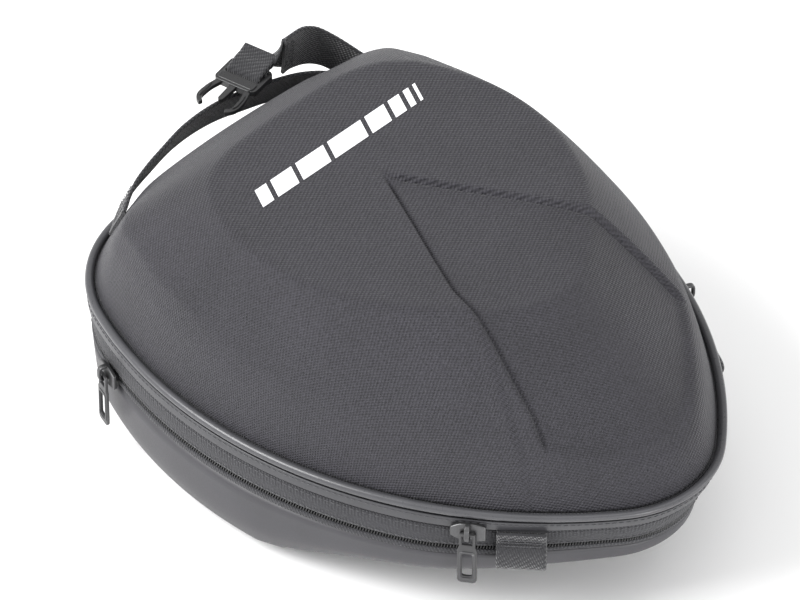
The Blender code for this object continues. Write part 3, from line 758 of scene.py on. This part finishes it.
def make_hinge():
    """Cloth hinge across the front, turning with the lid."""
    start = LENGTHS[-1] * (90.0 - HINGE_FROM) / (90.0 - CORNER_HIGH)
    runs = np.linspace(HALF - start, HALF, 24)
    section = rounded_section(FLAP_IN - 0.4, FLAP_OUT, MAIN_ZIP_Z + 0.3, LID_FOOT - 2, 0.7)
    rows = []
    for run in list(runs) + [-r for r in runs[-2::-1]]:
        step = around(run)
        rows.append([(*plan(step, out), z) for out, z in section])
    strip = lattice("hinge_strip_cloth", rows, [BAND_CLOTH], wrap_cols=True, cap_rows=True)
    replaced_by(strip, "lid", "hinge_strip")


make_hinge()


# ------------------------------------------------------------ handle and strap
face_out = Vector((0, math.sin(FACE_TILT), math.cos(FACE_TILT)))
face_up = Vector((0, -math.cos(FACE_TILT), math.sin(FACE_TILT)))


def on_face(x, out, up):
    """Point on the sloping front: across, off the face and up along it."""
    return FACE_MID + Vector((x, 0, 0)) + face_out * out + face_up * up


def stitched_box(name, centre, first, second, third, wide, tall, body):
    """Box stitch with a cross in it: rows of thread lying on a strap."""
    corners = [(-wide, -tall), (wide, -tall), (wide, tall), (-wide, tall)]
    runs = list(zip(corners, corners[1:] + corners[:1]))
    runs += [(corners[0], corners[2]), (corners[1], corners[3])]
    places = []
    for (a, b), (c, d) in runs:
        length = math.hypot(c - a, d - b)
        count = max(2, int(length / 2.4))
        along = (first * (c - a) + second * (d - b)).normalized()
        for step in range(count):
            part = (step + 0.5) / count
            point = centre + first * (a + (c - a) * part) + second * (b + (d - b) * part)
            places.append((point, along, third.cross(along), third))
    row = copies(name, capsule(1.9, 0.6, 0.5), places, [THREAD])
    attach(row, body)


def make_handle():
    arch = [(-77, -5.2), (-73, -3.0), (-68, 0.2), (-59, 4.6), (-47, 8.4), (-34, 11.4), (-20, 14.4),
            (-10, 15.6)]
    arch += [(0, 16.0)] + [(-x, out) for x, out in arch[::-1]]
    path = [on_face(x, out, HANDLE_UP) for x, out in arch]
    replaced_by(webbing("carry_handle_web", path, face_up, WEB_W, WEB_T), "lid", "carry_handle")
    for side, name in ((-1, "left"), (1, "right")):
        slope = Vector((side * 9.0, 0, 0)) - face_out * 5.2
        along = slope.normalized()
        middle = on_face(side * 67.0, 2.0, HANDLE_UP)
        normal = along.cross(face_up) * -side
        stitched_box("handle_stitches_" + name, middle - normal * 0.2, along, face_up, normal, 6.5, 9.5,
                     "lid")


buckle_run = Vector((-math.cos(BUCKLE_YAW), -math.sin(BUCKLE_YAW), 0))
buckle_side = Vector((math.sin(BUCKLE_YAW), -math.cos(BUCKLE_YAW), 0))
BUCKLE = (BUCKLE_AT, buckle_run, buckle_side, Vector((0, 0, 1)))


def make_strap():
    """Wide strap from the right corner, and narrow webbing sewn on it and looped through the buckle."""
    path = [(100, -18.6, -6), (97, -14.8, -4.5), (93, -9.3, -3), (88, -2, 0), (83, 4.5, 3), (77, 10.5, 6),
            (69, 14.3, 8.3), (60, 15.4, 9), (54.5, 15.1, 9)]
    turns = [(0, 0), (0, 0), (0, 0.3), (0, 0.6), (0, 0.8), (0.04, 1), (0, 1), (-0.1, 1), (-0.1, 1)]
    widths = [face_up * (1 - share) + Vector((0, lean, share)) for lean, share in turns]
    strap = webbing("front_strap_web", [on_face(*p) for p in path], widths, WEB_W, WEB_T)
    replaced_by(strap, "strap", "front_strap")
    lean = Vector((0, -0.1, 1)).normalized()
    lap = [(on_face(62, 17.4, 8.0), lean), (on_face(55.5, 17.4, 8.2), lean)]
    lap.append((on_face(48, 19.4, 7.8), Vector((0, -0.1, 0.65)) + buckle_side * 0.6))
    loop = [(-12.0, 2.2), (-8.6, 2.2), (-7.0, 2.1), (-5.9, 1.4), (-5.6, 0), (-5.5, -1.6), (-4.8, -2.9),
            (-2.8, -3.2), (-0.6, -2.9), (0, -1.6), (0, 0.2), (-0.3, 1.6), (-1.6, 2.6), (-3.2, 2.9),
            (-5, 3.6), (-8, 4.3), (-12, 4.8), (-17, 6.5)]
    lap += [(BUCKLE_AT + buckle_run * a + Vector((0, 0, b)), buckle_side) for a, b in loop]
    narrow = webbing("strap_tail_web", [p for p, _ in lap], [w for _, w in lap], TAIL_WEB_W, TAIL_WEB_T)
    replaced_by(narrow, "strap", "strap_tail")
    out = lean.cross(Vector((-1, 0, 0)))
    out = out if out.y > 0 else -out
    across = Vector((1, 0, 0))
    outer, inner = on_face(58.4, 17.4, 8.1) + out * 0.9, on_face(58.4, 15.3, 8.9) - out * 1.1
    stitched_box("strap_lap_stitches", outer, across, lean, out, 2.6, 8.2, "strap")
    stitched_box("strap_lap_stitches_inner", inner, across, lean, -out, 2.6, 8.2, "strap")


def make_buckle():
    slots = [rounded(3.2, 20.8, 1, 4, (-5.6, 0)), rounded(3.2, 20.8, 1, 4, (0, 0))]
    ladder = rounded(19, 25.6, 3, 6, (-0.5, 0))
    ladder_frame = plate("buckle_frame", ladder, slots, BUCKLE, -2.0, 1.2, [PLASTIC], 0.7)
    replaced_by(ladder_frame, "strap", "buckle_body")
    for name, shape, low, high in (("rear_rib", rounded(2.0, 23.0, 0.9, 4, (-8.7, 0)), 0.9, 1.9),
                                   ("front_rib", rounded(5.6, 22.0, 1.6, 5, (5.4, 0)), 0.9, 2.0),
                                   ("shoulder", rounded(2.2, 20.0, 1.0, 4, (8.6, 0)), -2.4, 1.6)):
        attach(plate("buckle_" + name, shape, [], BUCKLE, low, high, [PLASTIC], 0.45), "strap")
    outline = [(9.4, -2.0), (9.4, 2.0), (21, 1.6), (23, 0), (21, -1.6)]
    tongue = plate("buckle_guide_tongue", outline, [], BUCKLE, -1.8, 1.0, [PLASTIC], 0.5)
    replaced_by(tongue, "strap", "buckle_guide")
    outer = smooth_path([(9.4, 10.6, 0), (16, 12.2, 0), (23.4, 12.6, 0), (27.6, 10.6, 0),
                         (29.4, 7.8, 0)], 1.2)
    inner = smooth_path([(27.2, 6.8, 0), (24.8, 9.2, 0), (16.5, 9.0, 0), (9.4, 7.0, 0)], 1.2)
    shape = [(a, b) for a, b, _ in np.concatenate([outer, inner])]
    ridge_shape = ((13, 10.4), (17, 11.2), (22.6, 11.6), (25.6, 10.2), (22.6, 9.9), (17, 9.7))
    for side, name in ((1, "left"), (-1, "right")):
        prong = [(a, side * b) for a, b in shape]
        arm = plate("buckle_prong_" + name, prong, [], BUCKLE, -1.8, 1.0, [PLASTIC], 0.5)
        replaced_by(arm, "buckle_arm_" + name, "buckle_arm_" + name)
        ridge = [(a, side * b) for a, b in ridge_shape]
        ridge_plate = plate("buckle_prong_ridge_" + name, ridge, [], BUCKLE, 0.8, 1.7, [PLASTIC], 0.35)
        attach(ridge_plate, "buckle_arm_" + name)


make_handle()
make_strap()
make_buckle()


# --------------------------------------------------------------- tabs, sliders
def side_place(angle, z, side):
    """Origin and axes along, up and outward at an angle on a side arc."""
    step = around(run_at(angle, side))
    turn = math.radians(step[3])
    out = Vector((math.cos(turn), math.sin(turn), 0))
    up = Vector((0, 0, 1))
    return (Vector((*plan(step, 0.0), z)), up.cross(out), up, out)


def make_tabs():
    for side, name in ((-1, "left"), (1, "right")):
        origin, along, up, out = side_place(TAB_ANGLE[side], 0, side)
        path = [(1.7, -9.6), (1.9, -20), (2.2, -28), (3.8, -32.2), (7.0, -33.6), (10.2, -31.6), (10.9, -28),
                (8.6, -21), (4.9, -16), (4.5, -9.6)]
        points = []
        for reach, drop in path:
            reach += BAND_OUT - float(tuck(origin.y, TAB_TOP + drop))
            points.append(origin + out * reach + up * (TAB_TOP + drop))
        tab = webbing("webbing_tab_%s_web" % name, points, along, WEB_W, WEB_T)
        replaced_by(tab, "expansion_ring", "webbing_tab_" + name)
        places = []
        for drop, reach in ((-13.4, 6.0), (-15.2, 6.2), (-17.0, 7.2)):
            reach += BAND_OUT - float(tuck(origin.y, TAB_TOP + drop)) - 0.3
            for step in np.linspace(-9.5, 9.5, 13):
                place = origin + out * reach + up * (TAB_TOP + drop) + along * step
                places.append((place, along, up, out))
        tacks = copies("webbing_tab_%s_tacks" % name, capsule(1.7, 0.7, 0.7), places, [THREAD])
        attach(tacks, "expansion_ring")


make_tabs()


def make_slider(letter, angle, z, side):
    """Slider with a crown loop on its plate, and a puller with a framed window hanging from the loop."""
    face = side_place(angle, z, side)
    origin, along, up, out = face
    toward = 1 if side < 0 else -1
    waist = smooth_path([(9, -4.5, 0), (9, 4.5, 0)], 3)[:, :2].tolist()
    crown = smooth_path([(3, 5.6, 0), (-4, 5.2, 0), (-9, 2.8, 0)], 1.5)[:, :2].tolist()
    crown += smooth_path([(-9, -2.8, 0), (-4, -5.2, 0), (3, -5.6, 0)], 1.5)[:, :2].tolist()
    outline = [(a * toward, b) for a, b in waist + crown]
    body = plate("slider_%s_plate" % letter, outline, [], face, 5.4, 7.6, [METAL], 0.7)
    replaced_by(body, "slider_" + letter, "slider_" + letter)
    back = rounded(14, 5, 1.2, 3, (0, -3.5))
    foot = plate("slider_%s_back" % letter, back, [], face, 3.4, 5.6, [METAL], 0.4)
    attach(foot, "slider_" + letter)
    side_on = (origin, out, up, along)
    outer = smooth_path([(7.2, 6.2, 0), (10.4, 5.9, 0), (11.9, 4.0, 0), (11.9, -1.4, 0), (10.4, -3.3, 0),
                         (7.2, -3.5, 0)], 0.8)[:, :2].tolist()
    inner = smooth_path([(7.2, -1.7, 0), (9.8, -1.8, 0), (10.5, -0.9, 0), (10.5, 3.5, 0), (9.8, 4.3, 0),
                         (7.2, 4.3, 0)], 0.8)[:, :2].tolist()
    loop = plate("slider_%s_crown" % letter, outer + inner, [], side_on, -1.3, 1.3, [METAL], 0.45)
    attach(loop, "slider_" + letter)
    swing_at = origin + out * 9.1 + up * (-0.2)
    down = (swing_at, along, up, out)
    frame_shape = [(-3.6, 0.8), (3.6, 0.8), (4.2, -0.4), (4.2, -8), (5, -10), (5, -30), (4.4, -31.4),
                   (3, -32), (-3, -32), (-4.4, -31.4), (-5, -30), (-5, -10), (-4.2, -8), (-4.2, -0.4)]
    eye = [(-2.6, -0.8), (2.6, -0.8), (2.6, -6.4), (-2.6, -6.4)]
    window = rounded(5.2, 15, 1.2, 4, (0, -20))
    puller = plate("puller_%s_frame" % letter, frame_shape, [eye, window], down, -0.8, 0.8, [PULLER], 0.35)
    replaced_by(puller, "puller_" + letter, "puller_" + letter)
    rim_outer, rim_inner = rounded(8.2, 19.0, 2.0, 5, (0, -20.2)), rounded(6.2, 16.4, 1.5, 5, (0, -20.2))
    rim = plate("puller_%s_rim" % letter, rim_outer, [rim_inner], down, 0.6, 1.15, [METAL], 0.2)
    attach(rim, "puller_" + letter)


for entry in SLIDERS:
    make_slider(*entry)


def make_print():
    """Pale printed bars across the flat top, a plain pattern without letters."""
    place = (Vector((0, 40, TOP)), Vector((1, 0, 0)), Vector((0, 1, 0)), Vector((0, 0, 1)))
    stops = (-61, -53, -50, -35, -32, -12, -9, 15, 18, 32, 35, 43, 46, 50, 53, 55)
    for k, (start, end) in enumerate(zip(stops[::2], stops[1::2])):
        outline = [(start, -6), (end, -6), (end + 6, 6), (start + 6, 6)]
        bar = plate("print_bar_%d" % k, outline, [], place, 0.15, 0.45, [PRINT], 0.12)
        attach(bar, "lid")
        if k == 0:
            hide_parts("print_mark")


make_print()


def shown(name, mat):
    """A CAD node whose shape is right keeps it and gets a finished material."""
    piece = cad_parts[name]
    piece.data.materials.clear()
    piece.data.materials.append(mat)


for name, mat in (("underside_pad", RUBBER), ("bottom_board", BOARD),
                  ("lid_pocket_mesh", SKIRT_CLOTH), ("lid_pocket_binding", LINING)):
    shown(name, mat)


# --------------------------------------------------- floor, light and the camera
def make_floor():
    bm = bmesh.new()
    bmesh.ops.create_grid(bm, x_segments=8, y_segments=8, size=6.0)
    mesh = bpy.data.meshes.new("floor")
    bm.to_mesh(mesh)
    bm.free()
    mat, tree, shader = shader_of("pale_floor", (0.93, 0.93, 0.93), 0.9)
    tone = surface_noise(tree, 3.0)
    colour = blend_colour(tree, tone, (0.92, 0.92, 0.92), (0.94, 0.94, 0.94))
    tree.links.new(colour, shader.inputs["Base Color"])
    floor = new_object("floor", mesh, [mat])
    floor.location.z = -0.0002


def area_light(name, place, aim, size, power):
    data = bpy.data.lights.new(name, "AREA")
    data.shape = "SQUARE"
    data.size = size
    data.energy = power
    light = bpy.data.objects.new(name, data)
    bpy.context.scene.collection.objects.link(light)
    light.location = place
    light.rotation_euler = (Vector(aim) - Vector(place)).to_track_quat("-Z", "Y").to_euler()


def make_studio():
    world = bpy.data.worlds.new("studio")
    bpy.context.scene.world = world
    world.use_nodes = True
    background = world.node_tree.nodes["Background"]
    background.inputs["Color"].default_value = (1.0, 1.0, 1.0, 1.0)
    background.inputs["Strength"].default_value = WORLD_STRENGTH
    for name, place, aim, size, power in LAMPS:
        area_light(name, place, (0, 0, aim), size, power)
    bpy.context.scene.view_settings.view_transform = "Standard"


def make_camera():
    """A long lens from the left of the tail, looking down on the lid."""
    aim = Vector((0.0, 0.0, LID_FOOT * MM))
    back = Vector((math.sin(VIEW_AZIMUTH) * math.cos(VIEW_ELEVATION),
                   -math.cos(VIEW_AZIMUTH) * math.cos(VIEW_ELEVATION), math.sin(VIEW_ELEVATION)))
    data = bpy.data.cameras.new("camera")
    data.sensor_width = SENSOR
    data.lens = LENS
    data.shift_x = SHIFT
    camera = bpy.data.objects.new("camera", data)
    bpy.context.scene.collection.objects.link(camera)
    camera.location = aim + back * VIEW_DISTANCE
    camera.rotation_euler = (-back).to_track_quat("-Z", "Y").to_euler()
    bpy.context.scene.camera = camera


make_floor()
make_studio()
make_camera()
